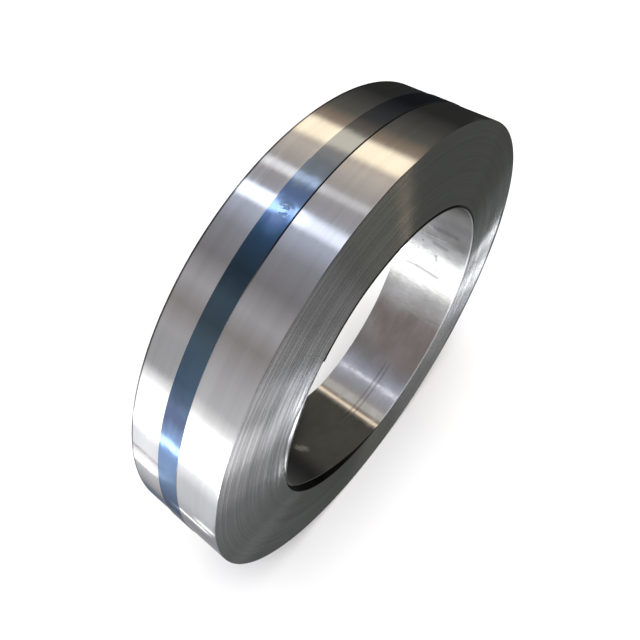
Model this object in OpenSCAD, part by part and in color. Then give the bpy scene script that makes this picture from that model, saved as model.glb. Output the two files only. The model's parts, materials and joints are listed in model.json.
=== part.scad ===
// Slit steel coil on its rim, held by one blued steel strap.
// The coil's axis runs along Y through the origin, which is the middle of the bore.
// The end seen first faces -Y, and Z points up. All sizes are in millimetres.

/* [Coil] */
// Outside diameter of the wound coil
coil_d = 762; // [640:1:1000]
// Bore that the winding mandrel left
bore_d = 508; // [400:1:610]
// Width of the slit strip, which is the length of the coil
coil_w = 146; // [80:1:300]

/* [Turns] */
// Grooves that show on each end, where neighbouring turns stand a little apart
groove_count = 20; // [8:1:24]
// Width of one groove at the face, as a share of the groove spacing
groove_w_share = 0.2; // [0.1:0.02:0.4]
// Depth of one groove, as a share of its width
groove_depth_share = 0.75; // [0.4:0.05:1]
// Spread of the spacing: 0 gives even grooves, and higher values bunch them
groove_wander_share = 0.3; // [0:0.05:0.4]

/* [Strap] */
// Width of the strap
strap_w = 32; // [19:1:40]
// Thickness of the strap
strap_t = 0.9; // [0.5:0.1:1.3]
// Middle of the strap along Y, from the middle of the coil
strap_y = 8; // [-20:1:20]
// Length of the outer end that laps over the inner end
lap_len = 42; // [30:1:120]
// Where the middle of the lap sits, in degrees from +X towards +Z
lap_deg = 111.4; // [95:0.1:125]

/* [Hidden] */
$fn = 180;
coil_r = coil_d / 2;
bore_r = bore_d / 2;
half_w = coil_w / 2;
groove_pitch = (coil_r - bore_r) / (groove_count + 1);
groove_w = groove_pitch * groove_w_share;
groove_depth = groove_w * groove_depth_share;
strap_r = coil_r + strap_t;
lap_r = strap_r + strap_t;
// Angle that the lap takes up on the strap
lap_turn = lap_len / strap_r * 180 / PI;
// Length of the wedge that cuts out the lap, well past the lap's own radius
wedge_reach = 2 * lap_r;
// Step of the wandering groove spacing, in degrees per groove
wander_step = 77;

// Middle of groove k: even spacing, pushed in and out by a sine
function groove_r(k) = bore_r + groove_pitch * (k + groove_wander_share * sin(wander_step * k));

// Three points of groove k: its inner lip, its root and its outer lip
// side is 1 on the end at the high side of the section and -1 on the other
function groove_points(k, side) = [
    [groove_r(k) - side * groove_w / 2, side * half_w],
    [groove_r(k), side * (half_w - groove_depth)],
    [groove_r(k) + side * groove_w / 2, side * half_w]
];

// Half section of the coil, drawn once round from the bore: one end outwards, the other end back
function coil_section() = [
    [bore_r, half_w],
    for (k = [1 : groove_count]) each groove_points(k, 1),
    [coil_r, half_w],
    [coil_r, -half_w],
    for (k = [groove_count : -1 : 1]) each groove_points(k, -1),
    [bore_r, -half_w]
];

// Lays a turned shape down, so that its axis runs along Y and its angles run from +X towards +Z
module lay_down() {
    rotate([90, 0, 0]) children();
}

// Wedge of the end view that holds the lap, with its tip on the axis
module lap_wedge() {
    rotate(lap_deg)
        polygon([
            [0, 0],
            [wedge_reach, -wedge_reach * tan(lap_turn / 2)],
            [wedge_reach, wedge_reach * tan(lap_turn / 2)]
        ]);
}

// End view of the strap: a thin ring, twice as thick where the outer end laps over the inner end
module strap_outline() {
    difference() {
        union() {
            circle(r = strap_r);
            intersection() {
                circle(r = lap_r);
                lap_wedge();
            }
        }
        circle(r = coil_r);
    }
}

// The wound strip as one turned solid, with its bore and the edges of its turns
module coil() {
    color([0.62, 0.62, 0.60])
        lay_down()
            rotate_extrude() polygon(coil_section());
}

// The strap all round the rim, with its outer end lying over its inner end
module strap() {
    color([0.22, 0.31, 0.42])
        lay_down()
            translate([0, 0, -strap_y - strap_w / 2])
                linear_extrude(strap_w) strap_outline();
}

coil();
strap();
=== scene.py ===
# %% [markdown]
# # A slit coil of bright steel strip
# A steel mill cuts wide sheet into narrow strips and winds each strip on a mandrel. The result is a flat
# heavy ring: a mirror-bright rim, two dull ends that show the edge of every turn, and an open bore where
# the mandrel was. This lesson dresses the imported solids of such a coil. The solids give every size, and
# Blender gives the looks.

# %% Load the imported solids
import json
import math
import random

import bpy
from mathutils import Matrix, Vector, noise


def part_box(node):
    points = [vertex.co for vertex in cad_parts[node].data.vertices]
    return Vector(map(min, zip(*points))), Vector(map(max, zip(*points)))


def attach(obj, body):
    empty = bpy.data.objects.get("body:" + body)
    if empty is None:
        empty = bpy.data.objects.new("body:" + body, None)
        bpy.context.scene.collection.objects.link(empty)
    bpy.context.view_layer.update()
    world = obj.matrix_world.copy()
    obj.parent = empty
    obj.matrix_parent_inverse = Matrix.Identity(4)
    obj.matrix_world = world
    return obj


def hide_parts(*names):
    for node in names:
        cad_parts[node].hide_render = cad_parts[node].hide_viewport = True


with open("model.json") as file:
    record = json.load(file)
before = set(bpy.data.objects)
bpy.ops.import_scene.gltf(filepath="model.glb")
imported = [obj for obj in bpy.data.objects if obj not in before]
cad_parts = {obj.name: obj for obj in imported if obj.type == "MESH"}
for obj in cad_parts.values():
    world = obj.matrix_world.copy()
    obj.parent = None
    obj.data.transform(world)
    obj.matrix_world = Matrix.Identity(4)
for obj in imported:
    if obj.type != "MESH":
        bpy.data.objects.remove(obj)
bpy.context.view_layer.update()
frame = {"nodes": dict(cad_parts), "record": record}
print("nodes:", sorted(frame["nodes"]))

# %% [markdown]
# All sizes come from the frame. The coil's axis runs along Y through the origin, so the distance of a point
# from the Y axis is a radius, and the largest one of a node is its outside radius. The strap is twice as
# thick at its lap, so half of what it adds to the rim is the thickness of one layer. The ends drawn here
# stay a hair inside those of the solid.

# %% Measure the coil and its strap
MM_PER_M = 1000
HAIR = 1e-6

def radius_of(point):
    """Distance of a point from the coil's axis."""
    return math.hypot(point.x, point.z)

def angle_of(point):
    """Angle of a point round the coil's axis, in degrees from +X towards +Z."""
    return math.degrees(math.atan2(point.z, point.x))

def reach(node):
    """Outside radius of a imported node."""
    return max(radius_of(v.co) for v in frame["nodes"][node].data.vertices)

bore = next(mount for mount in frame["record"]["mounts"] if mount["name"] == "bore")
BORE_R = bore["dims"]["r_mm"] / MM_PER_M
RIM_R = reach("coil")
HALF_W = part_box("coil")[1].y - HAIR
STRAP_T = (reach("strap") - RIM_R) / 2
STRAP_LOW_Y, STRAP_HIGH_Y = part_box("strap")[0].y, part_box("strap")[1].y
FLOOR_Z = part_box("strap")[0].z
print(f"rim {RIM_R:.4f}  bore {BORE_R:.4f}  half width {HALF_W:.4f}")
print(f"strap {STRAP_T:.5f} thick, floor {FLOOR_Z:.4f}")

# %% [markdown]
# The camera comes first, because it decides which surfaces matter most. It stands close to the coil and
# looks down on it, so the rim is large on the left and the end is a narrow ellipse on the right.

# %% Stand the camera where the photographer stood
CAMERA_AZIMUTH = math.radians(-51.7)
CAMERA_ELEVATION = math.radians(52.5)
CAMERA_AIM = Vector((0.0156, 0.0765, -0.0390))
CAMERA_DISTANCE = 1.0
SENSOR_MM = 36
FOCAL_SHARE = 0.8834

def looking_back(azimuth, elevation):
    """Unit vector from the object towards a viewer: azimuth 0 stands in front, at -Y."""
    flat = math.cos(elevation)
    return Vector((math.sin(azimuth) * flat, -math.cos(azimuth) * flat, math.sin(elevation)))

back = looking_back(CAMERA_AZIMUTH, CAMERA_ELEVATION)
stand = CAMERA_AIM + back * CAMERA_DISTANCE
bpy.ops.object.select_all(action="DESELECT")
bpy.ops.object.camera_add(location=stand, rotation=back.to_track_quat("Z", "Y").to_euler())
camera = bpy.context.object
camera.data.sensor_width = SENSOR_MM
camera.data.lens = SENSOR_MM * FOCAL_SHARE
bpy.context.scene.camera = camera
print("camera at", tuple(round(c, 3) for c in camera.location), "lens", round(camera.data.lens, 2))

# %% [markdown]
# The shapes are made as by hand in edit mode: a point is extruded along a line, a line is spun round the
# axis, and doubled points are merged. Each of these steps gets a helper with a short name.

# %% Helpers that work like a hand in edit mode
WELD = 1e-5

def start_piece(name, add, **where):
    """Adds a primitive by itself, names it and goes into edit mode with all of it selected."""
    bpy.ops.object.select_all(action="DESELECT")
    add(location=(0, 0, 0), **where)
    piece = bpy.context.object
    piece.name = piece.data.name = name
    bpy.ops.object.mode_set(mode="EDIT")
    bpy.ops.mesh.select_all(action="SELECT")
    return piece

def draw_line(points):
    """Extrudes the selected point through a list of places."""
    here = points[0]
    for there in points[1:]:
        bpy.ops.mesh.extrude_region_move(TRANSFORM_OT_translate={"value": there - here})
        here = there

def spin_round(steps, angle=2 * math.pi):
    """Spins what is selected round the coil's axis, from +X towards +Z."""
    bpy.ops.mesh.select_all(action="SELECT")
    bpy.ops.mesh.spin(steps=steps, angle=angle, center=(0, 0, 0), axis=(0, -1, 0))

def close_up():
    """Merges doubled points, turns the faces outwards and leaves edit mode."""
    bpy.ops.mesh.select_all(action="SELECT")
    bpy.ops.mesh.remove_doubles(threshold=WELD)
    bpy.ops.mesh.normals_make_consistent(inside=False)
    bpy.ops.object.mode_set(mode="OBJECT")

print("helpers: start_piece, draw_line, spin_round, close_up")

# %% [markdown]
# The body of the coil is turned, so it is drawn as half a section and spun round the axis. On the ends the
# section goes up and down once for each turn of strip, because each turn's edge has two broken corners, with
# a joint between it and the next. Those steep flanks are small, but they catch the light: two bright fans on
# the ends come from them. The first and the last turn are left out here, because they have free ends, and
# they get strips of their own.

# %% Draw the section of the wound body, turn by turn
GAUGE = 0.0015
INNER_GAP = 0.0012
END_WANDER = 0.0003
WANDER_RATE = 60
WANDER_SIDE = 5
END_SCATTER = 0.00004
SCATTER_SEED = 7
JOINT_DEPTHS = (0.0002, 0.0004)
INNER_FLANK_DEGS = (40, 42.5)
OUTER_FLANK_DEGS = (35, 38)
BODY_R0 = BORE_R + GAUGE + INNER_GAP
BODY_R1 = RIM_R - GAUGE
turn_count = round((BODY_R1 - BODY_R0) / GAUGE)
pitch = (BODY_R1 - BODY_R0) / turn_count
scatter = random.Random(SCATTER_SEED)

def run_of(height, flank_degs):
    """How far a flank of this height reaches along the radius, with a slope drawn from a range."""
    return height / math.tan(math.radians(scatter.uniform(*flank_degs)))

def end_line(side):
    """One end, from the bore out: for each turn the joint inside it, then its two shoulders."""
    radii = [BODY_R0 + pitch * k for k in range(turn_count)]
    slow = [noise.noise(Vector((r * WANDER_RATE, WANDER_SIDE * side, 0))) for r in radii]
    crests = [HALF_W - END_WANDER * (0.5 + 0.5 * share) - END_SCATTER * scatter.random() for share in slow]
    pairs = zip(crests[:1] + crests, crests + crests[-1:])
    joints = [min(pair) - scatter.uniform(*JOINT_DEPTHS) for pair in pairs]
    points = []
    for k, (r, crest) in enumerate(zip(radii, crests)):
        rise = run_of(crest - joints[k], INNER_FLANK_DEGS)
        fall = run_of(crest - joints[k + 1], OUTER_FLANK_DEGS)
        for place, height in ((r, joints[k]), (r + rise, crest), (r + pitch - fall, crest)):
            points.append(Vector((place, side * height, 0)))
    return points + [Vector((BODY_R1, side * joints[-1], 0))]

section = end_line(-1) + end_line(1)[::-1]
print("turns:", turn_count, " points of the section:", len(section))

# %% Spin the section into the wound body
SECTION_WELD = 1e-6
SPIN_STEPS = 160
body = start_piece("coil_body", bpy.ops.mesh.primitive_circle_add, vertices=3, radius=GAUGE)
bpy.ops.mesh.merge(type="CENTER")
bpy.ops.transform.translate(value=section[0])
draw_line(section + section[:1])
bpy.ops.mesh.select_all(action="SELECT")
bpy.ops.mesh.remove_doubles(threshold=SECTION_WELD)
spin_round(SPIN_STEPS)
close_up()
print("body faces:", len(body.data.polygons))

# %% [markdown]
# A coil that has been handled isn't quite true. On the left of the front end the edges of the first few
# turns are rolled over, and make a bright lip along the bore. The inner turns have also slackened: the bore
# has drifted a little to one side, it bulges in on the left, and a gap has opened behind the inner turn at
# the top. These are small moves of points that a spun ring already has, so they are done in code, by the
# angle and the radius of each point.

# %% Say how far the bore has moved
DRIFT = 0.004
BULGE = 0.008
BULGE_MIDDLE_DEG = 150
BULGE_HALF_DEG = 42
TOP_GAP = 0.0028
TOP_GAP_MIDDLE_DEG = 84
TOP_GAP_HALF_DEG = 95

def degrees_past(angle, middle):
    """How far an angle lies past a middle one, from -180 to 180 degrees."""
    return (angle - middle + 180) % 360 - 180

def soft_arch(angle, middle, half):
    """1 at the middle angle, falling smoothly to 0 at half degrees to either side."""
    share = degrees_past(angle, middle) / half
    return max(0, 1 - share * share) ** 2

def eased(share):
    """A share from 0 to 1, made slow at both ends."""
    return share * share * (3 - 2 * share)

def bore_drift(angle):
    """How far the bore has moved outwards at an angle."""
    bulge_in = BULGE * soft_arch(angle, BULGE_MIDDLE_DEG, BULGE_HALF_DEG)
    return DRIFT * math.cos(math.radians(angle)) - bulge_in

def body_drift(angle, point):
    """The bore's move, fading to nothing at the rim, and the gap behind the inner turn at the top."""
    inward = (BODY_R1 - radius_of(point)) / (BODY_R1 - BODY_R0)
    gap = TOP_GAP * soft_arch(angle, TOP_GAP_MIDDLE_DEG, TOP_GAP_HALF_DEG)
    return bore_drift(angle) * inward ** 2 + gap * inward ** 4

print("bore moves by", [round(bore_drift(angle), 4) for angle in range(0, 360, 90)])

# %% Roll the lip over and let the bore drift
LIP_TURNS = 5
LIP_MIDDLE_DEG = 158
LIP_HALF_DEG = 28
LIP_LEAN = math.tan(math.radians(29))
JOINT_SHARE = 0.02

def move_radii(piece, change):
    """Moves each point of a piece along its own radius by change(angle in degrees, point)."""
    for v in piece.data.vertices:
        r = radius_of(v.co)
        grow = (r + change(angle_of(v.co), v.co)) / r
        v.co.x *= grow
        v.co.z *= grow
    piece.data.update()

rolled = 0
for v in body.data.vertices:
    turn, part = divmod((radius_of(v.co) - BODY_R0) / pitch, 1)
    lean = LIP_TURNS * soft_arch(angle_of(v.co), LIP_MIDDLE_DEG, LIP_HALF_DEG) - turn
    if v.co.y < 0 and lean > 0 and JOINT_SHARE < part < 1 - JOINT_SHARE:
        v.co.y += min(1, lean) * part * pitch * LIP_LEAN
        rolled += 1
move_radii(body, body_drift)
print("points of the lip:", rolled)

# %% [markdown]
# The innermost and the outermost turn are strips with free ends. Each is a rectangle, one gauge thick and as
# wide as the coil, spun nearly all the way round. The inner one has come loose low down on the left, where
# it cuts across the bore and leaves a dark gap. The outer one sinks by its own thickness just before it
# passes under its tail.

# %% Wind a free turn
FREE_STEPS = 220
CORNER_STEPS = 3
FLAT_FROM = 2

def wind_strip(name, inner_r, start_deg, sweep_deg, low_y, high_y, thick, rounding, steps=FREE_STEPS):
    """A strip bent round the axis: a rectangle with rounded corners, spun from start_deg by sweep_deg."""
    strip = start_piece(name, bpy.ops.mesh.primitive_plane_add, size=1)
    bpy.ops.transform.resize(value=(thick, high_y - low_y, 1))
    bpy.ops.transform.translate(value=(inner_r + thick / 2, (low_y + high_y) / 2, 0))
    bpy.ops.mesh.bevel(offset=rounding, segments=CORNER_STEPS, affect="VERTICES")
    bpy.ops.mesh.delete(type="ONLY_FACE")
    spin_round(steps, math.radians(sweep_deg))
    if sweep_deg < 360:
        bpy.ops.mesh.select_all(action="SELECT")
        bpy.ops.mesh.fill_holes(sides=0)
    for cut_y in (low_y + FLAT_FROM * rounding, high_y - FLAT_FROM * rounding):
        bpy.ops.mesh.select_all(action="SELECT")
        bpy.ops.mesh.bisect(plane_co=(0, cut_y, 0), plane_no=(0, 1, 0))
    close_up()
    strip.rotation_euler.y = -math.radians(start_deg)
    bpy.ops.object.transform_apply(location=True, rotation=True, scale=True)
    print(name, "faces:", len(strip.data.polygons))
    return strip

# %% Bend the loose inner turn across the bore
LOOSE_MIDDLE_DEG = -128
LOOSE_HALF_DEG = 40
LOOSE_DEPTH = 0.025
LOOSE_SOFT = 0.16
LOOSE_REST = 0.001
INNER_TAIL_DEG = 132
INNER_SWEEP_DEG = 346
STRIP_EDGE = 0.0006

def loose_dip(angle, point):
    """How far the loose turn has come in: a flat arch with soft ends, on top of the bore's own drift."""
    share = degrees_past(angle, LOOSE_MIDDLE_DEG) / LOOSE_HALF_DEG
    arch = 1 - share * share
    dip = (arch + math.hypot(arch, LOOSE_SOFT)) / 2 - LOOSE_REST
    return bore_drift(angle) - LOOSE_DEPTH * max(0, dip)

inner_turn = wind_strip("inner_turn", BORE_R, INNER_TAIL_DEG, INNER_SWEEP_DEG,
                        -HALF_W, HALF_W, GAUGE, STRIP_EDGE)
move_radii(inner_turn, loose_dip)

# %% Lay the outer turn and let it sink under its tail
OUTER_TAIL_DEG = -38
OUTER_SWEEP_DEG = 359.9
SINK_DEG = 70

def tail_sink(angle, point):
    """The last part of the turn before the tail goes down by one gauge."""
    past = (angle - OUTER_TAIL_DEG) % 360
    share = max(0, 1 - past / SINK_DEG) if past < OUTER_SWEEP_DEG else 0
    return -GAUGE * eased(share)

outer_turn = wind_strip("outer_turn", BODY_R1, OUTER_TAIL_DEG, OUTER_SWEEP_DEG,
                        -HALF_W, HALF_W, GAUGE, STRIP_EDGE)
move_radii(outer_turn, tail_sink)

# %% [markdown]
# The strap is a thin band with rounded edges that runs all round the rim. Its outer end lies over its inner
# end for a short length. There a second layer lies on top, which comes up out of the band on one side and is
# cut off square on the other.

# %% Wind the strap and its lap
STRAP_EDGE = 0.00022
SNUG = 0.00004
LAP_TOP_DEG = 108.25
LAP_LOW_DEG = 116.2
LAP_RAMP_DEG = 2.2
LAP_TIP_DEG = 0.9
LAP_SHIFT_Y = 0.0008
LAP_STEPS = 48

def lap_ramp(angle, point):
    """The outer layer comes up out of the band over a short ramp, and its tip is pressed down."""
    from_ramp = max(0, (LAP_LOW_DEG - angle) / LAP_RAMP_DEG)
    from_tip = max(0, (angle - LAP_TOP_DEG) / LAP_TIP_DEG)
    return -STRAP_T * (1 - eased(min(1, from_ramp, from_tip)))

band = wind_strip("strap_band", RIM_R - SNUG, 0, 360, STRAP_LOW_Y, STRAP_HIGH_Y, STRAP_T, STRAP_EDGE)
lap = wind_strip("strap_lap", RIM_R + STRAP_T - SNUG, LAP_TOP_DEG, LAP_LOW_DEG - LAP_TOP_DEG,
                 STRAP_LOW_Y + LAP_SHIFT_Y, STRAP_HIGH_Y + LAP_SHIFT_Y, STRAP_T, STRAP_EDGE, steps=LAP_STEPS)
move_radii(lap, lap_ramp)

# %% [markdown]
# Shader maths reads best as plain expressions. This small class wraps a socket, so that adding two of them
# makes a Math node, and one method makes any other node from its type, its settings and the values of its
# sockets.

# %% A socket that takes arithmetic
# A Mix node's colour sockets share their names with its number sockets, so they go by their place
MIX_A, MIX_B, MIX_OUT = 6, 7, 2

class Wire:
    """A socket in a node tree. Arithmetic on it adds Math nodes, and node() adds any other node."""

    def __init__(self, tree, socket=None):
        self.tree, self.socket = tree, socket

    def node(self, kind, inputs=None, out=0, stops=None, **settings):
        """Adds a node and returns one of its outputs. Stops are the places and colours of a ramp."""
        made = self.tree.nodes.new("ShaderNode" + kind)
        for name, value in settings.items():
            setattr(made, name, value)
        if stops:
            ramp = made.color_ramp.elements
            while len(ramp) < len(stops):
                ramp.new(1)
            for element, (place, colour) in zip(ramp, stops):
                element.position, element.color = place, (*colour, 1)
        for name, value in (inputs or {}).items():
            self.plug(made.inputs[name], value)
        return Wire(self.tree, made.outputs[out])

    def plug(self, socket, value):
        """Links a Wire to a socket, or gives the socket a plain value."""
        if isinstance(value, Wire):
            self.tree.links.new(value.socket, socket)
        else:
            socket.default_value = value

    def math(self, operation, first, second=0.0):
        return self.node("Math", {0: first, 1: second}, operation=operation)

    def __add__(self, other):
        return self.math("ADD", self, other)

    def __radd__(self, other):
        return self.math("ADD", other, self)

    def __sub__(self, other):
        return self.math("SUBTRACT", self, other)

    def __rsub__(self, other):
        return self.math("SUBTRACT", other, self)

    def __mul__(self, other):
        return self.math("MULTIPLY", self, other)

    def __pow__(self, other):
        return self.math("POWER", self, other)

    def between(self, low, high, out_low=0.0, out_high=1.0):
        """Maps low..high to out_low..out_high, smoothly and clamped."""
        ends = {"From Min": low, "From Max": high, "To Min": out_low, "To Max": out_high}
        return self.node("MapRange", {"Value": self, **ends}, interpolation_type="SMOOTHSTEP")

    def mix(self, first, second):
        """Mixes two colours, with this socket as the share of the second."""
        first, second = (c if isinstance(c, Wire) else (*c, 1) for c in (first, second))
        return self.node("Mix", {0: self, MIX_A: first, MIX_B: second}, out=MIX_OUT, data_type="RGBA")

print("class:", Wire.__name__)

# %% [markdown]
# All finishes here start from the same few words: a metal shader, the place of a point in the frame, noise
# stretched along one direction, and a soft spot round a point or a line. Pieces sit at the origin, so Object
# coordinates are places in the frame.

# %% Words for the finishes
OBJECT_OUT = 3
VALUE_OUT = 1
NOISE_SPAN = (0.3, 0.7)

def new_finish(name, metallic=1.0):
    """A new material: returns it, its shader and a Wire to build with."""
    finish = bpy.data.materials.new(name)
    finish.use_nodes = True
    shader = finish.node_tree.nodes["Principled BSDF"]
    shader.inputs["Metallic"].default_value = metallic
    return finish, shader, Wire(finish.node_tree)

def places(wire):
    """Object coordinates, whole and as x, y and z."""
    place = wire.node("TexCoord", out=OBJECT_OUT)
    return place, *(place.node("SeparateXYZ", {0: place}, out=k) for k in range(3))

def round_share(wire, x, z, start=0.0):
    """Angle round the coil's axis, from +X towards +Z, as a share of a full turn, with start added."""
    return wire.math("FRACT", wire.math("ARCTAN2", z, x) * (1 / (2 * math.pi)) + (1 + start))

def grain(wire, x, y, z, detail=2.0, rough=0.5):
    """Noise at stretched coordinates, from 0 to 1."""
    vector = wire.node("CombineXYZ", {0: x, 1: y, 2: z})
    return wire.node("TexNoise", {"Vector": vector, "Scale": 1.0, "Detail": detail, "Roughness": rough})

def relief(wire, shader, height):
    """Plugs a height in metres into the shader's Normal, through a Bump node."""
    bump = wire.node("Bump", {"Height": height, "Distance": 1.0, "Strength": 1.0})
    wire.plug(shader.inputs["Normal"], bump)

def at_angle(r, degrees, along):
    """The point at a radius and an angle round the axis, and at a place along it."""
    turn = math.radians(degrees)
    return Vector((r * math.cos(turn), along, r * math.sin(turn)))

def near_point(place, middle, fade):
    """1 at a point, falling smoothly to 0 at a distance from it."""
    gap = place.node("VectorMath", {0: place, 1: middle}, out=VALUE_OUT, operation="DISTANCE")
    return gap.between(fade, 0)

def near_line(place, start, end, fade):
    """1 on the straight line between two points, falling smoothly to 0 at a distance from it."""
    along = Vector(end) - Vector(start)
    per_length = along / along.length_squared
    offset = place.node("VectorMath", {0: place, 1: start}, operation="SUBTRACT")
    share = place.node("VectorMath", {0: offset, 1: per_length}, out=VALUE_OUT, operation="DOT_PRODUCT")
    share = place.node("Clamp", {"Value": share})
    foot = place.node("VectorMath", {0: along, "Scale": share}, operation="SCALE")
    return near_point(offset, foot, fade)

print("words: new_finish, places, round_share, grain, relief, at_angle, near_point, near_line")

# %% [markdown]
# The rim is cold-rolled strip. The rolls leave it mirror-bright with very fine lines that run round the coil,
# and the strip is not quite flat, so reflections ripple a little. Lines round the coil are noise that changes
# fast along Y and slowly along X and Z. Beside the strap near the top, a dark line of painted shade is laid
# on the rim, and painted shade darkens its back edge and parts of its front edge. Where a tone comes and
# goes, a pair of numbers says where it begins and where it is full.

# %% Bright rolled strip for the rim
RIM_TONES = ((0.64, 0.635, 0.63), (0.70, 0.70, 0.70))
COMB_SPAN = (0.35, 0.7)
# Painted shade: a dark line on the rim beside the strap, near the top only
SHADE_LINE_Y = 0.0006
STRAP_SHADE_Z = (0.30, 0.345)
STRAP_SHADE_TONE = (0.015, 0.015, 0.015)
# Painted shade along the rim's back edge, and along its front edge at the top and on the right
EDGE_SHADE_TONE = (0.06, 0.06, 0.06)
EDGE_SHADE_SHARE = 0.9
EDGE_SHADE_TOP_Z = (0.325, 0.35)
EDGE_SHADE_TOP_X = (0.0, -0.06)
EDGE_SHADE_RIGHT_X = (0.1, 0.2)

bright, shader, wire = new_finish("bright_rolled_strip")
_, x, y, z = places(wire)
lines = grain(wire, x * 5, y * 900, z * 5, detail=3)
bands = grain(wire, x * 2.5, y * 60, z * 2.5)
ripple = grain(wire, x * 9, y * 7, z * 9, detail=1)
combs = grain(wire, x * 6, y * 420, z * 6, detail=3).between(*COMB_SPAN)
steel = bands.between(*NOISE_SPAN).mix(*RIM_TONES)
# Painted shade beside the strap, limited to the top of the rim
beside_strap = wire.math("ABSOLUTE", y - (STRAP_LOW_Y - SHADE_LINE_Y))
strap_shade = beside_strap.between(2 * SHADE_LINE_Y, SHADE_LINE_Y) * z.between(*STRAP_SHADE_Z)
# Painted shade: dark bands along the rim's back edge and on parts of its front edge
back_edge_shade = y.between(HALF_W - 6 * SHADE_LINE_Y, HALF_W - 3 * SHADE_LINE_Y)
front_shade_shown = wire.math("MAXIMUM", z.between(*EDGE_SHADE_TOP_Z) * x.between(*EDGE_SHADE_TOP_X), x.between(*EDGE_SHADE_RIGHT_X))
front_edge_shade = y.between(2 * SHADE_LINE_Y - HALF_W, SHADE_LINE_Y - HALF_W) * front_shade_shown
for edge in (back_edge_shade, front_edge_shade):
    steel = (edge * EDGE_SHADE_SHARE).mix(steel, EDGE_SHADE_TONE)
wire.plug(shader.inputs["Base Color"], strap_shade.mix(steel, STRAP_SHADE_TONE))
wire.plug(shader.inputs["Roughness"], 0.04 + lines * 0.04 + combs * 0.05)
relief(wire, shader, ripple * 0.0008 + bands * 0.00006 + lines * 0.000008)
print("finish:", bright.name)

# %% [markdown]
# The wall of the bore is the same strip seen from inside, rubbed by the mandrel and by handling. Clouds and
# strokes of noise make it duller and uneven, most of all on the right. The marks that show best are laid
# down one by one: two rubs round the bottom, a few streaks on the right, a dirty smear on the loose turn,
# and a front edge that is worn to bare metal.

# %% List the marks on the wall of the bore
# Each mark: its two ends as an angle and a place along Y, how far it fades out, and its tone
BORE_MARKS = (
    ((-13.5, 0.043), (-13.2, 0.020), 0.0045, (0.31, 0.29, 0.295)),
    ((-13.2, 0.022), (-14.0, -0.026), 0.0065, (0.29, 0.28, 0.285)),
    ((-4, -0.011), (-11, -0.020), 0.0045, (0.29, 0.285, 0.295)),
    ((11.5, -0.001), (11.5, -0.042), 0.011, (0.42, 0.42, 0.45)),
    ((2.5, -0.003), (2, -0.027), 0.009, (0.4, 0.4, 0.41)),
    ((5, 0.022), (6, -0.026), 0.0014, (0.95, 0.95, 0.95)),
    ((1, 0.022), (1, 0.021), 0.0022, (0.12, 0.12, 0.12)),
)
RUB_YS = (-0.020, -0.011)
RUB_HALF = 0.0034
RUB_LEFT_X = (-0.04, 0.0)
RUB_RIGHT_X = (0.14, 0.10)
RUB_Z = (-0.12, -0.18)
RUB_TONE = (0.22, 0.18, 0.165)
RUB_SHARE = 0.5
# Painted warm sheen on the loose turn: a lighter, warmer, less metallic smear
WARM_SHEEN_ENDS = ((-0.152, -0.008, -0.168), (-0.143, -0.014, -0.176))
WARM_SHEEN_REACH = 0.013
WARM_SHEEN_SHARE = 0.3
WARM_SHEEN_TONE = (0.9, 0.7, 0.5)
# Painted highlight: a bright band along the front edge of the bore, on the right
BORE_EDGE_GLINT_Y = 0.0021
BORE_EDGE_GLINT_X = (0.0, 0.08)
BORE_EDGE_GLINT_TONE = (0.9, 0.9, 0.9)

def on_bore(degrees, along):
    """A point on the wall of the bore."""
    return at_angle(BORE_R + bore_drift(degrees), degrees, along)

print("marks of the bore:", len(BORE_MARKS), " rubs:", len(RUB_YS))

# %% Rubbed strip for the bore
RUBBED_TONES = ((0.54, 0.535, 0.52), (0.66, 0.655, 0.65))
SCUFF_SPAN = (0.45, 0.75)
UNEVEN_X = (0.04, 0.16)
UNEVEN_SHARES = (0.15, 1.0)

rubbed, shader, wire = new_finish("rubbed_bore_strip")
place, x, y, z = places(wire)
lines = grain(wire, x * 6, y * 500, z * 6, detail=3)
cloud = grain(wire, x * 14, y * 20, z * 14, detail=4)
scuff = grain(wire, x * 18, y * 120, z * 18, detail=3).between(*SCUFF_SPAN)
strokes = grain(wire, x * 45, y * 22, z * 45, detail=3, rough=0.6)
uneven = x.between(*UNEVEN_X, *UNEVEN_SHARES)
rub = wire.math("MINIMUM", *(wire.math("ABSOLUTE", y - rub_y) for rub_y in RUB_YS)).between(RUB_HALF, 0)
rub = rub * x.between(*RUB_LEFT_X) * x.between(*RUB_RIGHT_X) * z.between(*RUB_Z)
# Painted warm sheen along a short line on the loose turn
warm_sheen = near_line(place, *WARM_SHEEN_ENDS, WARM_SHEEN_REACH) * WARM_SHEEN_SHARE
bore_edge_glint = y.between(1.5 * BORE_EDGE_GLINT_Y - HALF_W, BORE_EDGE_GLINT_Y - HALF_W) * x.between(*BORE_EDGE_GLINT_X)
steel = cloud.between(*NOISE_SPAN).mix(*RUBBED_TONES)
steel = (rub * RUB_SHARE).mix(steel, RUB_TONE)
for start, end, fade, tone in BORE_MARKS:
    steel = near_line(place, on_bore(*start), on_bore(*end), fade).mix(steel, tone)
# Painted warm sheen on the loose turn, then a painted highlight along the front edge
steel = bore_edge_glint.mix(warm_sheen.mix(steel, WARM_SHEEN_TONE), BORE_EDGE_GLINT_TONE)
dull = cloud * 0.10 + scuff * 0.08 + uneven * 0.06
wire.plug(shader.inputs["Base Color"], steel)
wire.plug(shader.inputs["Metallic"], 1 - warm_sheen * 0.9)
wire.plug(shader.inputs["Roughness"], 0.05 + dull + warm_sheen * 0.35 + bore_edge_glint * 0.35)
relief(wire, shader, (cloud * 0.0008 + strokes * 0.0004) * uneven + lines * 0.000004)
print("finish:", rubbed.name)

# %% [markdown]
# The ends are the slit edges of the strip, stacked turn on turn. A slit edge is half sheared and half torn,
# so it is duller than the rolled face, and each turn has its own tone. Noise that changes fast with the
# radius and slowly round the coil gives that. On the right of the front end the outermost turns are painted
# nearly black, as painted shade.

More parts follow.
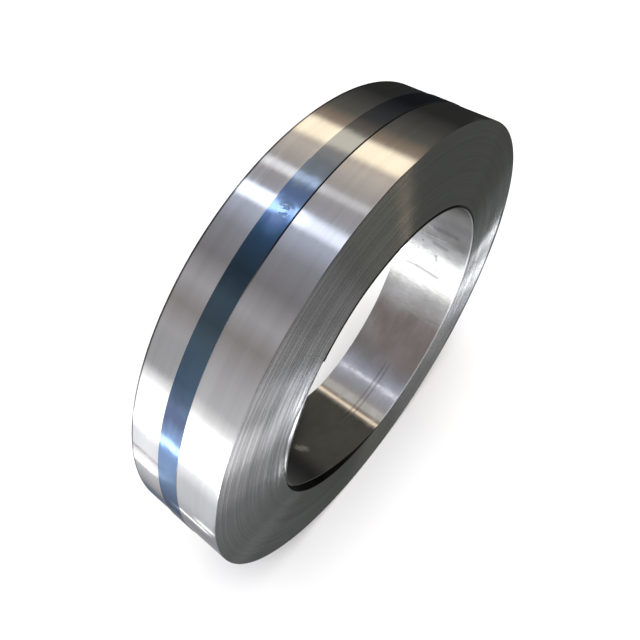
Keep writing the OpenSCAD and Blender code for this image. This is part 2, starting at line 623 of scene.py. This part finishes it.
# %% Dull slit edges for the ends
SLIT_TONES = ((0.57, 0.575, 0.57), (0.655, 0.655, 0.65))
# Painted shade: the outermost turns on the right of the front end are darkened nearly to black
SHADED_OUTER_TURNS = (8, 5.5)
SHADED_OUTER_X = (0.05, 0.15)
SHADED_OUTER_Y = (0.0, -0.01)
SHADED_OUTER_TOP_Z = (0.08, 0.02)
SHADED_OUTER_LOW_Z = (-0.31, -0.24)
OUTER_TURNS_SHADE_TONE = (0.03, 0.03, 0.033)

slit, shader, wire = new_finish("dull_slit_edges")
_, x, y, z = places(wire)
radius = (x * x + z * z) ** 0.5
turns = grain(wire, radius * 600, x * 2, z * 2, detail=1)
groups = grain(wire, radius * 130, x * 1.5, z * 1.5, detail=2)
smear = grain(wire, radius * 160, x * 14, z * 14, detail=2)
tone = turns * 0.6 + groups * 0.3 + smear * 0.1
steel = tone.between(*NOISE_SPAN).mix(*SLIT_TONES)
# Painted shade on the outermost turns, right of the front end
outer_turns_shade = radius.between(*(RIM_R - count * GAUGE for count in SHADED_OUTER_TURNS))
outer_turns_shade = outer_turns_shade * z.between(*SHADED_OUTER_TOP_Z) * z.between(*SHADED_OUTER_LOW_Z)
outer_turns_shade = outer_turns_shade * x.between(*SHADED_OUTER_X) * y.between(*SHADED_OUTER_Y)
wire.plug(shader.inputs["Base Color"], outer_turns_shade.mix(steel, OUTER_TURNS_SHADE_TONE))
wire.plug(shader.inputs["Roughness"], 0.16 + turns * 0.07)
print("finish:", slit.name)

# %% [markdown]
# Little light gets in behind the loose turn. The wall there and the back of the turn are painted nearly
# black, as painted shade, which keeps that gap dark.

# %% Painted shade on the wall behind the loose turn
# Painted shade: near-black tones for the wall and the back of the turn inside the gap
GAP_SHADE_TONES = ((0.012, 0.012, 0.011), (0.03, 0.029, 0.026))

gap_shade, shader, wire = new_finish("painted_shade_gap_wall")
_, x, y, z = places(wire)
gap_grain = grain(wire, x * 30, y * 40, z * 30, detail=3)
wire.plug(shader.inputs["Base Color"], gap_grain.between(*NOISE_SPAN).mix(*GAP_SHADE_TONES))
wire.plug(shader.inputs["Roughness"], 0.4 + gap_grain * 0.2)
print("finish:", gap_shade.name)

# %% [markdown]
# Steel strapping is blued: a thin oxide gives it a deep blue that runs from grey over teal to violet with
# the heat it had. It mirrors the room like the rim, only darker and bluer. A ramp over the angle round the
# coil carries its colour: partly that heat tint, and partly painted highlights and painted shade where the
# strap looks lighter or darker. Where the two ends lap, the band was pinched: it swells a little there, and
# a few creases are left.

# %% Blued steel for the strap
# Each stop: an angle round the coil in degrees, and the colour there, heat tint with painted highlight or
# shade
HEAT_TINTS_AND_PAINTED_SHEEN = (
    (0, (0.10, 0.18, 0.28)),
    (50, (0.24, 0.28, 0.33)),
    (96, (0.34, 0.37, 0.41)),
    (100, (0.25, 0.30, 0.36)),
    (104, (0.37, 0.47, 0.61)),
    (106, (0.17, 0.27, 0.50)),
    (110.5, (0.36, 0.50, 0.72)),
    (112, (0.20, 0.32, 0.56)),
    (115, (0.075, 0.16, 0.265)),
    (124, (0.066, 0.108, 0.148)),
    (133, (0.125, 0.195, 0.25)),
    (142, (0.10, 0.16, 0.235)),
    (150, (0.052, 0.066, 0.114)),
    (158, (0.18, 0.27, 0.45)),
    (166, (0.25, 0.34, 0.50)),
    (174, (0.14, 0.20, 0.32)),
    (230, (0.10, 0.17, 0.27)),
    (300, (0.17, 0.25, 0.42)),
    (360, (0.10, 0.18, 0.28)),
)
TINT_STRAY = 0.015
BLUED_SHEEN = (0.6, 0.66, 0.74, 1)
CREASE_AT = (110.5, 0.005)
CREASE_REACH = 0.013
SWELL_AT = (111.3, 0.013)
SWELL_REACH = 0.022

blued, shader, wire = new_finish("blued_strap_steel")
place, x, y, z = places(wire)
lines = grain(wire, x * 8, y * 700, z * 8, detail=3)
dents = grain(wire, x * 30, y * 40, z * 30, detail=2)
creases = grain(wire, x * 150, y * 200, z * 150, detail=1)
stray = grain(wire, x * 14, y * 50, z * 14, detail=2)
tint_place = round_share(wire, x, z) + (stray - 0.5) * TINT_STRAY
tint_and_sheen = wire.node("ValToRGB", {0: tint_place}, stops=[(deg / 360, colour) for deg, colour in HEAT_TINTS_AND_PAINTED_SHEEN])
crease = near_point(place, at_angle(RIM_R, *CREASE_AT), CREASE_REACH) * creases
swell = near_point(place, at_angle(RIM_R, *SWELL_AT), SWELL_REACH)
# Base colour: heat tint, with painted highlights and painted shade round the coil
wire.plug(shader.inputs["Base Color"], tint_and_sheen)
wire.plug(shader.inputs["Roughness"], 0.06 + lines * 0.06)
shader.inputs["Specular Tint"].default_value = BLUED_SHEEN
relief(wire, shader, dents * 0.0002 + lines * 0.000004 + crease * 0.0004 + swell * 0.0002)
print("finish:", blued.name)

# %% [markdown]
# The strap's long edges were sheared and never blued. Near the top they are painted nearly black, as painted
# shade, and further down they are a pale matt grey.

# %% Sheared edges for the strap
# Painted shade: near black at the top of the strap's edges, their own pale grey further down
SHEARED_SHADE_AND_TONE = ((0.01, 0.01, 0.012), (0.26, 0.29, 0.34))
SHEARED_SHADE_Z = (0.33, 0.29)
SHEARED_ROUGHNESS = 0.6

sheared, shader, wire = new_finish("sheared_strap_edge", metallic=0.0)
*_, z = places(wire)
shader.inputs["Roughness"].default_value = SHEARED_ROUGHNESS
wire.plug(shader.inputs["Base Color"], z.between(*SHEARED_SHADE_Z).mix(*SHEARED_SHADE_AND_TONE))
print("finish:", sheared.name)

# %% [markdown]
# A face gets its finish from the way it looks. Faces along the axis are slit edges, the inner turn's face
# towards the axis is the wall of the bore, and the outer turn's face away from it is the rim.

# %% Put each finish on its faces
UPRIGHT = 0.3
FACING = 0.9
STRAP_FACING = 0.3

def face_finish(piece, finishes, pick):
    """Gives a piece its finishes, and each face the one that pick(centre, normal) names by number."""
    for finish in finishes:
        piece.data.materials.append(finish)
    for face in piece.data.polygons:
        face.material_index = pick(face.center, face.normal)
    numbers = [face.material_index for face in piece.data.polygons]
    print(piece.name, [(finish.name, numbers.count(k)) for k, finish in enumerate(finishes)])

def is_edge(centre, normal):
    """1 for the slit edges of a strip, which face along the axis, and 0 for its rolled faces."""
    return int(abs(normal.y) > FACING)

def is_strap_edge(centre, normal):
    """1 for the edges of the strap with their rounding, 0 for its faces."""
    return int(abs(normal.y) > STRAP_FACING)

def is_outward(centre, normal):
    """True for faces that look away from the coil's axis."""
    return centre.x * normal.x + centre.z * normal.z > UPRIGHT * radius_of(centre)

def is_edge_or_back(centre, normal):
    """As is_edge, and 2 for the face that looks away from the axis."""
    return 2 if is_outward(centre, normal) else is_edge(centre, normal)

def is_inner_wall(centre, normal):
    """1 for the wall of the bore behind the inner turn, 0 for the ends."""
    return int(abs(normal.y) < UPRIGHT and radius_of(centre) < (BODY_R0 + BODY_R1) / 2)

# The wall behind the inner turn and the turn's back get the painted shade
face_finish(body, (slit, gap_shade), is_inner_wall)
face_finish(inner_turn, (rubbed, slit, gap_shade), is_edge_or_back)
face_finish(outer_turn, (bright, slit), is_edge)
for layer in (band, lap):
    face_finish(layer, (blued, sheared), is_strap_edge)

# %% [markdown]
# The body and its two free turns are one piece of stock, and the two layers are one strap, so each group is
# joined under one name. Reflections leave both pieces out: the metal then mirrors the room alone, and each
# reflection is placed by its direction.

# %% Join the turns into one coil, and the layers into one strap
COIL_SMOOTH_DEG = 31
STRAP_SMOOTH_DEG = 50

def join_pieces(name, smooth_deg, *parts):
    """Joins parts into the first one, names the result and shades it smooth up to an angle."""
    bpy.ops.object.select_all(action="DESELECT")
    for part in parts:
        part.select_set(True)
    bpy.context.view_layer.objects.active = parts[0]
    bpy.ops.object.join()
    bpy.ops.object.shade_smooth_by_angle(angle=math.radians(smooth_deg))
    parts[0].name = parts[0].data.name = name
    parts[0].visible_glossy = False
    print(name, "triangles:", sum(len(face.vertices) - 2 for face in parts[0].data.polygons))
    return parts[0]

coil = join_pieces("wound_coil", COIL_SMOOTH_DEG, body, inner_turn, outer_turn)
strap = join_pieces("strapping", STRAP_SMOOTH_DEG, band, lap)

# %% [markdown]
# Each piece now takes the place of its imported solid. It rides on the one body there is, and it hides the
# solid that it stands for.

# %% Tie the pieces to the frame
for piece, node, slot in ((coil, "coil", "bright_steel"), (strap, "strap", "blued_strap")):
    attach(piece, "root")
    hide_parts(node)
    print(piece.name, "stands for", node)

# %% [markdown]
# The coil stands on a plain pale floor. Round it is a pale backdrop that only the camera sees, so it lights
# nothing. The metal mirrors neither of them.

# %% Lay a pale floor
FLOOR_SIZE = 30
FLOOR_TONE = (0.86, 0.86, 0.86, 1)
FLOOR_ROUGHNESS = 0.9

bpy.ops.object.select_all(action="DESELECT")
bpy.ops.mesh.primitive_plane_add(size=FLOOR_SIZE, location=(0, 0, FLOOR_Z))
floor = bpy.context.object
floor.name = "floor"
floor.visible_glossy = False
paper, shader, wire = new_finish("pale_floor", metallic=0.0)
shader.inputs["Base Color"].default_value = FLOOR_TONE
shader.inputs["Roughness"].default_value = FLOOR_ROUGHNESS
floor.data.materials.append(paper)
print("floor at", round(FLOOR_Z, 4))

# %% Set a plain backdrop round it
BACKDROP_R = 14
BACKDROP_TONE = (0.97, 0.97, 0.97, 1)
BLACK = (0, 0, 0, 1)

bpy.ops.object.select_all(action="DESELECT")
bpy.ops.mesh.primitive_uv_sphere_add(segments=48, ring_count=24, radius=BACKDROP_R, location=(0, 0, 0))
backdrop = bpy.context.object
backdrop.name = "backdrop"
for kind in ("diffuse", "glossy", "transmission", "volume_scatter", "shadow"):
    setattr(backdrop, "visible_" + kind, False)
card, shader, wire = new_finish("pale_backdrop", metallic=0.0)
shader.inputs["Base Color"].default_value = BLACK
shader.inputs["Specular IOR Level"].default_value = 0.0
shader.inputs["Emission Color"].default_value = BACKDROP_TONE
shader.inputs["Emission Strength"].default_value = 1.0
backdrop.data.materials.append(card)
print("backdrop of radius", BACKDROP_R)

# %% [markdown]
# Polished metal has no look of its own: it shows the room. The room here is a plain dome whose light changes
# mostly round the coil's axis, as if long soft lamps and dark flags lay beside it. The dome has a soft ground
# tone, and each lamp is a band laid over it. A ray that the rim, the strap or the bore mirrors keeps its
# slope along Y, so a lamp's reach along Y says which part of the view can show it.

# %% List the ground tones and the long lamps
# Each tone: a direction in degrees from +X over the top towards -X, and the colour there
GROUND_TONE = (
    (-90, (0.36, 0.36, 0.37)),
    (-76, (0.24, 0.24, 0.24)),
    (-60, (0.09, 0.09, 0.088)),
    (-25, (0.024, 0.024, 0.024)),
    (5, (0.028, 0.028, 0.027)),
    (18, (0.07, 0.068, 0.062)),
    (30, (0.125, 0.12, 0.105)),
    (37, (0.30, 0.235, 0.18)),
    (59, (0.69, 0.61, 0.54)),
    (68, (0.50, 0.465, 0.44)),
    (82, (0.43, 0.42, 0.45)),
    (98, (0.54, 0.58, 0.71)),
    (108, (0.32, 0.32, 0.36)),
    (123, (0.25, 0.24, 0.25)),
    (137, (0.47, 0.46, 0.48)),
    (149, (0.33, 0.305, 0.305)),
    (166, (0.54, 0.53, 0.55)),
    (180, (0.66, 0.66, 0.68)),
    (187, (1.15, 1.15, 1.17)),
    (218, (1.25, 1.27, 1.3)),
    (225, (0.80, 0.83, 0.87)),
    (238, (0.73, 0.74, 0.78)),
    (248, (0.53, 0.53, 0.55)),
    (257, (0.30, 0.30, 0.33)),
    (270, (0.36, 0.36, 0.37)),
)
WHOLE_Y = (-1, 2)
# Each long lamp: its middle, half width and soft edge in degrees, its reach along Y, and its colour
LAMPS = (
    (48, 3.5, 5, WHOLE_Y, (1.55, 1.35, 1.03)),
    (54, 14, 5, (-1, 0.33), (0.44, 0.38, 0.34)),
    (27, 8, 9, (-1, 0.33), (0.085, 0.083, 0.07)),
    (49, 3, 3, (-1, 0.33), (1.3, 1.1, 0.86)),
    (70, 5, 3, (-1, 0.33), (0.7, 0.68, 0.66)),
    (95.5, 0.8, 1.2, (-1, 0.33), (1.4, 1.4, 1.55)),
    (12, 18, 14, (-1, 0.3), (0.085, 0.083, 0.07)),
    (74, 0.6, 3, (0.36, 2), (0.78, 0.77, 0.8)),
    (74, 0.6, 3, (0.483, 2), (1.15, 1.16, 1.22)),
    (91, 1.2, 4, (0.36, 2), (1.3, 1.4, 1.65)),
    (91, 1.2, 4, (0.483, 2), (1.95, 2.15, 2.5)),
    (173, 7, 6, (0.513, 2), (0.45, 0.445, 0.465)),
    (140, 16, 14, (-1, 0.33), (0.28, 0.24, 0.235)),
    (202, 8, 8, WHOLE_Y, (2.3, 2.3, 2.3)),
    (211.5, 1.2, 2.5, WHOLE_Y, (6.5, 6.5, 6.5)),
    (227, 6, 5, (0.415, 2), (1.15, 1.17, 1.22)),
    (236.5, 2.5, 1, (0.435, 2), (2.2, 2.2, 2.2)),
    (229.5, 0.3, 0.7, (0.44, 2), (0.5, 0.4, 0.42)),
    (245, 8, 7, (-1, 0.31), (0.34, 0.34, 0.35)),
    (246.5, 0.8, 1, (0.31, 0.345), (2.0, 2.0, 2.0)),
    (251, 0.4, 0.8, (0.32, 0.385), (2.2, 2.2, 2.2)),
    (266, 5, 5, (0.394, 2), (0.165, 0.19, 0.25)),
    (-89, 7, 6, (0.394, 2), (0.13, 0.16, 0.205)),
)
LAMP_END = 0.012
print("ground tones:", len(GROUND_TONE), " long lamps:", len(LAMPS))

# %% [markdown]
# The half of the room in front is mirrored by the front end only. It is dark but for patches of lit floor.
# The flat edges of the turns show the dark, and their steep flanks find the bright patches, which makes the
# fans on the end. On the left the front half begins further forward, and high up it fades into the rest.

# %% List the patches of the front half
FRONT_EDGE = 0.04
FRONT_LEFT_X = (-0.2, -0.5)
FRONT_LEFT_SHIFT = 0.3
FRONT_TONES = ((0.145, 0.15, 0.15), (0.085, 0.088, 0.083))
FRONT_TONES_X = (0.16, 0.34)
FRONT_TOP_Z = (0.65, 0.4)
# Each patch: its direction, its half width and where it fades out in degrees, and its colour
PATCHES = (
    ((-0.66, -0.64, -0.40), 6, 15, (4, 4, 4.1)),
    ((-0.057, -0.996, 0.067), 4, 20, (0.35, 0.35, 0.355)),
    ((0.42, -0.885, 0.2), 6, 16, (0.22, 0.22, 0.19)),
    ((0.08, -0.57, -0.82), 5, 14, (0.2, 0.205, 0.21)),
    ((-0.33, -0.42, -0.845), 5, 14, (0.23, 0.23, 0.24)),
    ((-0.178, -0.80, -0.573), 6, 11, (0.75, 0.78, 0.86)),
    ((-0.26, -0.964, -0.06), 4, 10, (0.64, 0.63, 0.64)),
    ((-0.39, -0.885, -0.25), 4, 9, (1.13, 1.11, 1.15)),
    ((-0.42, -0.60, -0.68), 3, 13, (0.58, 0.57, 0.6)),
    ((-0.455, -0.74, -0.495), 5, 10, (1.85, 1.83, 1.9)),
    ((-0.227, -0.919, -0.31), 3, 6, (1.4, 1.45, 1.65)),
    ((-0.213, -0.853, -0.476), 3, 6.5, (4.9, 5, 5.2)),
    ((-0.11, -0.73, -0.674), 1.5, 4.5, (5.3, 5.4, 5.6)),
    ((0.63, -0.76, 0.165), 1.5, 4, (0.8, 0.66, 0.5)),
    ((-0.17, -0.52, -0.837), 1.5, 5.5, (4.2, 4.2, 4.3)),
)
print("patches:", len(PATCHES))

# %% Hang the dome
DIRECTION_OUT = 0
DOME_START = 90 / 360

def dome_place(degrees):
    """Place on the dome of a direction, as a share of a full turn that begins straight below."""
    return degrees / 360 + DOME_START

world = bpy.data.worlds.new("dome")
bpy.context.scene.world = world
world.use_nodes = True
wire = Wire(world.node_tree)
direction = wire.node("TexCoord", out=DIRECTION_OUT)
dx, dy, dz = (wire.node("SeparateXYZ", {0: direction}, out=k) for k in range(3))
ramp_place = round_share(wire, dx, dz, DOME_START)
dome = wire.node("ValToRGB", {0: ramp_place}, stops=[(dome_place(d), colour) for d, colour in GROUND_TONE])
for middle, half, soft, (from_y, to_y), colour in LAMPS:
    away = wire.math("ABSOLUTE", ramp_place - dome_place(middle))
    along = dy.between(from_y - LAMP_END, from_y + LAMP_END) * dy.between(to_y + LAMP_END, to_y - LAMP_END)
    dome = (away.between((half + soft) / 360, half / 360) * along).mix(dome, colour)
front = dx.between(*FRONT_TONES_X).mix(*FRONT_TONES)
forward = dy + dx.between(*FRONT_LEFT_X) * FRONT_LEFT_SHIFT
dome = (forward.between(FRONT_EDGE, -FRONT_EDGE) * dz.between(*FRONT_TOP_Z)).mix(dome, front)
for towards, half, fade, colour in PATCHES:
    middle = Vector(towards).normalized()
    near = wire.node("VectorMath", {0: direction, 1: middle}, out=VALUE_OUT, operation="DOT_PRODUCT")
    spot = near.between(math.cos(math.radians(fade)), math.cos(math.radians(half)))
    dome = spot.mix(dome, colour)
wire.plug(world.node_tree.nodes["Background"].inputs["Color"], dome)
print("dome:", len(world.node_tree.nodes), "nodes")

# %% [markdown]
# The floor needs light of its own. A very wide sun from above gives it an even tone and lays a soft shadow
# under the coil. The metal doesn't mirror it.

# %% Hang the lamp over the floor
SUN_FROM = Vector((-0.6, -0.4, 4.0))
SUN_HEIGHT = 4
SUN_WIDTH_DEG = 42
SUN_STRENGTH = 3.1

sun_turn = SUN_FROM.to_track_quat("Z", "Y").to_euler()
bpy.ops.object.light_add(type="SUN", location=(0, 0, SUN_HEIGHT), rotation=sun_turn)
lamp = bpy.context.object
lamp.name = "floor_lamp"
lamp.data.angle = math.radians(SUN_WIDTH_DEG)
lamp.data.energy = SUN_STRENGTH
lamp.visible_glossy = False
lamp.visible_camera = False
bpy.context.scene.view_settings.view_transform = "Standard"
print("lamp:", lamp.name)
